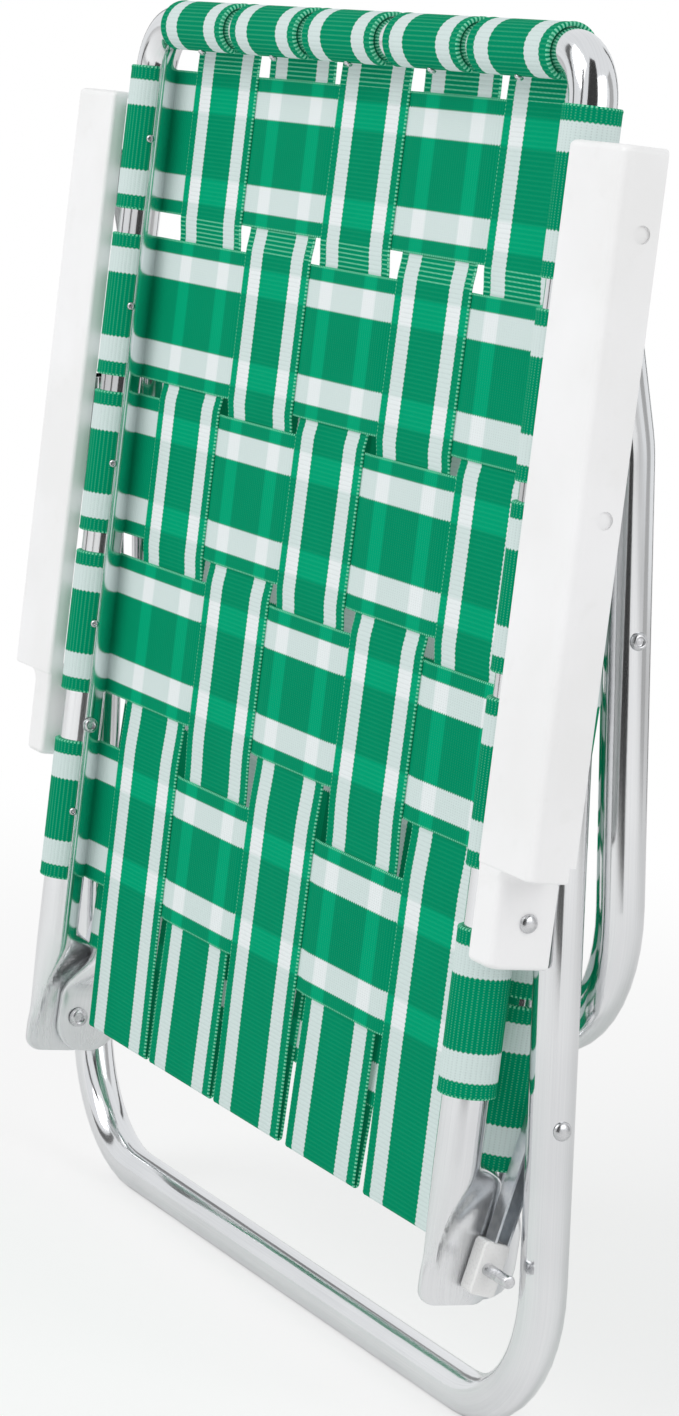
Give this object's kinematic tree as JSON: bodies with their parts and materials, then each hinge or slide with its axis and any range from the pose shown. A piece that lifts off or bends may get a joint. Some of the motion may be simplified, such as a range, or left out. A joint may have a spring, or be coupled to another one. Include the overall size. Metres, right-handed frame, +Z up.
{
  "type": "folding lawn chair",
  "caption": "Low folding lawn chair with a polished tube frame, woven striped webbing and plastic arms, folded flat on its rear leg loop.",
  "frame": {"origin": "on the floor, on the centre plane, under the axis of the rear crossbar that the folded chair stands on", "axes": "+X to the side, -Y towards the back panel's outer face, +Z up along the folded frame"},
  "size_m": [0.603, 0.0889, 0.6418],
  "materials": {
    "tube": "polished drawn tube",
    "fastener": "plated",
    "arm": "moulded satin white",
    "nylon": "moulded white",
    "webbing": "woven green and white plastic webbing"
  },
  "bodies": {
    "back": {"back_frame": "tube", "arm_rear_rivet_right": "fastener", "arm_rear_rivet_left": "fastener", "pivot_bolt_right": "fastener", "pivot_bolt_left": "fastener", "back_cross_strap_1": "webbing", "back_cross_strap_2": "webbing", "back_cross_strap_3": "webbing", "back_cross_strap_4": "webbing", "back_cross_strap_5": "webbing", "back_long_strap_1": "webbing", "back_long_strap_2": "webbing", "back_long_strap_3": "webbing", "back_long_strap_4": "webbing", "back_long_strap_5": "webbing"},
    "seat": {"seat_frame": "tube", "seat_bush_right": "nylon", "seat_bush_left": "nylon", "seat_cross_strap_1": "webbing", "seat_cross_strap_2": "webbing", "seat_cross_strap_3": "webbing", "seat_cross_strap_4": "webbing", "seat_long_strap_1": "webbing", "seat_long_strap_2": "webbing", "seat_long_strap_3": "webbing", "seat_long_strap_4": "webbing", "seat_long_strap_5": "webbing"},
    "arms": {"arm_right": "arm", "arm_left": "arm", "arm_middle_rivet_right": "fastener", "arm_middle_rivet_left": "fastener", "arm_front_rivet_right": "fastener", "arm_front_rivet_left": "fastener"},
    "front_legs": {"front_leg_loop": "tube", "front_leg_rivet_right": "fastener", "front_leg_rivet_left": "fastener"},
    "rear_legs": {"rear_leg_loop": "tube", "rear_leg_rivet_right": "fastener", "rear_leg_rivet_left": "fastener"},
    "links": {"link_right": "tube", "link_left": "tube", "link_block_right": "nylon", "link_block_left": "nylon", "link_stub_right": "fastener", "link_stub_left": "fastener"}
  },
  "joints": [
    {"name": "arm_fold", "type": "hinge", "parent": "back", "child": "arms", "pos_m": [0, -0.04471, 0.2505], "axis": [-1, 0, 0], "range_deg": [0, 101.3]},
    {"name": "seat_fold", "type": "hinge", "parent": "back", "child": "seat", "pos_m": [0, -0.02971, 0.087], "axis": [-1, 0, 0], "range_deg": [0, 100.9]},
    {"name": "link_fold", "type": "hinge", "parent": "back", "child": "links", "pos_m": [0, -0.02971, 0.087], "axis": [-1, 0, 0], "range_deg": [0, 202.8]},
    {"name": "front_leg_fold", "type": "hinge", "parent": "arms", "child": "front_legs", "pos_m": [0, -0.04471, 0.554], "axis": [-1, 0, 0], "range_deg": [-89.4, 0]},
    {"name": "rear_leg_fold", "type": "hinge", "parent": "arms", "child": "rear_legs", "pos_m": [0, -0.04471, 0.432], "axis": [-1, 0, 0], "range_deg": [-47.4, 0]}
  ],
  "couplings": [
    {"joint": "seat_fold", "follows": "arm_fold", "ratio": 0.99506},
    {"joint": "link_fold", "follows": "arm_fold", "ratio": 2.0011},
    {"joint": "front_leg_fold", "follows": "arm_fold", "ratio": -0.88154},
    {"joint": "rear_leg_fold", "follows": "arm_fold", "ratio": -0.46703}
  ]
}
